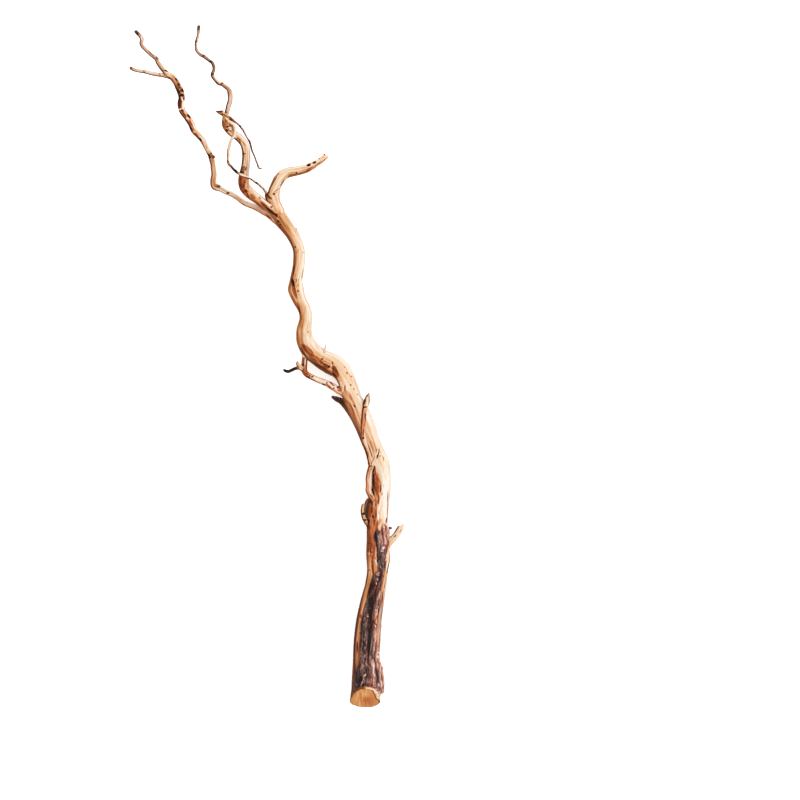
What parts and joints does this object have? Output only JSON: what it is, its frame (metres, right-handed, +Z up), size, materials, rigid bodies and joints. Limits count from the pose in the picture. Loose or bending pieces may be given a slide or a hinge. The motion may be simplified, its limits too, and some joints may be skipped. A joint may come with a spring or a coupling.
{
  "type": "driftwood branch",
  "caption": "Weathered driftwood branch with a sawn butt, a strip of dark bark up the trunk and thin, twisting limbs forking at the far end, lying on a surface.",
  "frame": {"origin": "on the surface that the branch lies on, under the middle of its bounding box", "axes": "+Z up from that surface, +Y along the branch from the sawn butt to the twig tips, +X to the right seen from above with the butt nearest"},
  "size_m": [0.4091, 1.0227, 0.0681],
  "materials": {
    "bare_wood": "bare wood smoothed by water, pale tan to orange-brown, with fine grain, knots and dark pits",
    "twig_wood": "thin twigs, tan to red-brown, dark at nodes and tips",
    "bark": "rough, furrowed dark bark with mauve-grey ridges and pale flecks"
  },
  "bodies": {
    "root": {"trunk": "bare_wood", "bark": "bark", "right_limb": "bare_wood", "middle_limb": "bare_wood", "left_limb": "bare_wood", "top_shoot": "twig_wood", "curling_twig": "twig_wood", "hanging_twig": "twig_wood", "side_twig": "twig_wood", "climbing_stem": "bare_wood"}
  },
  "joints": []
}
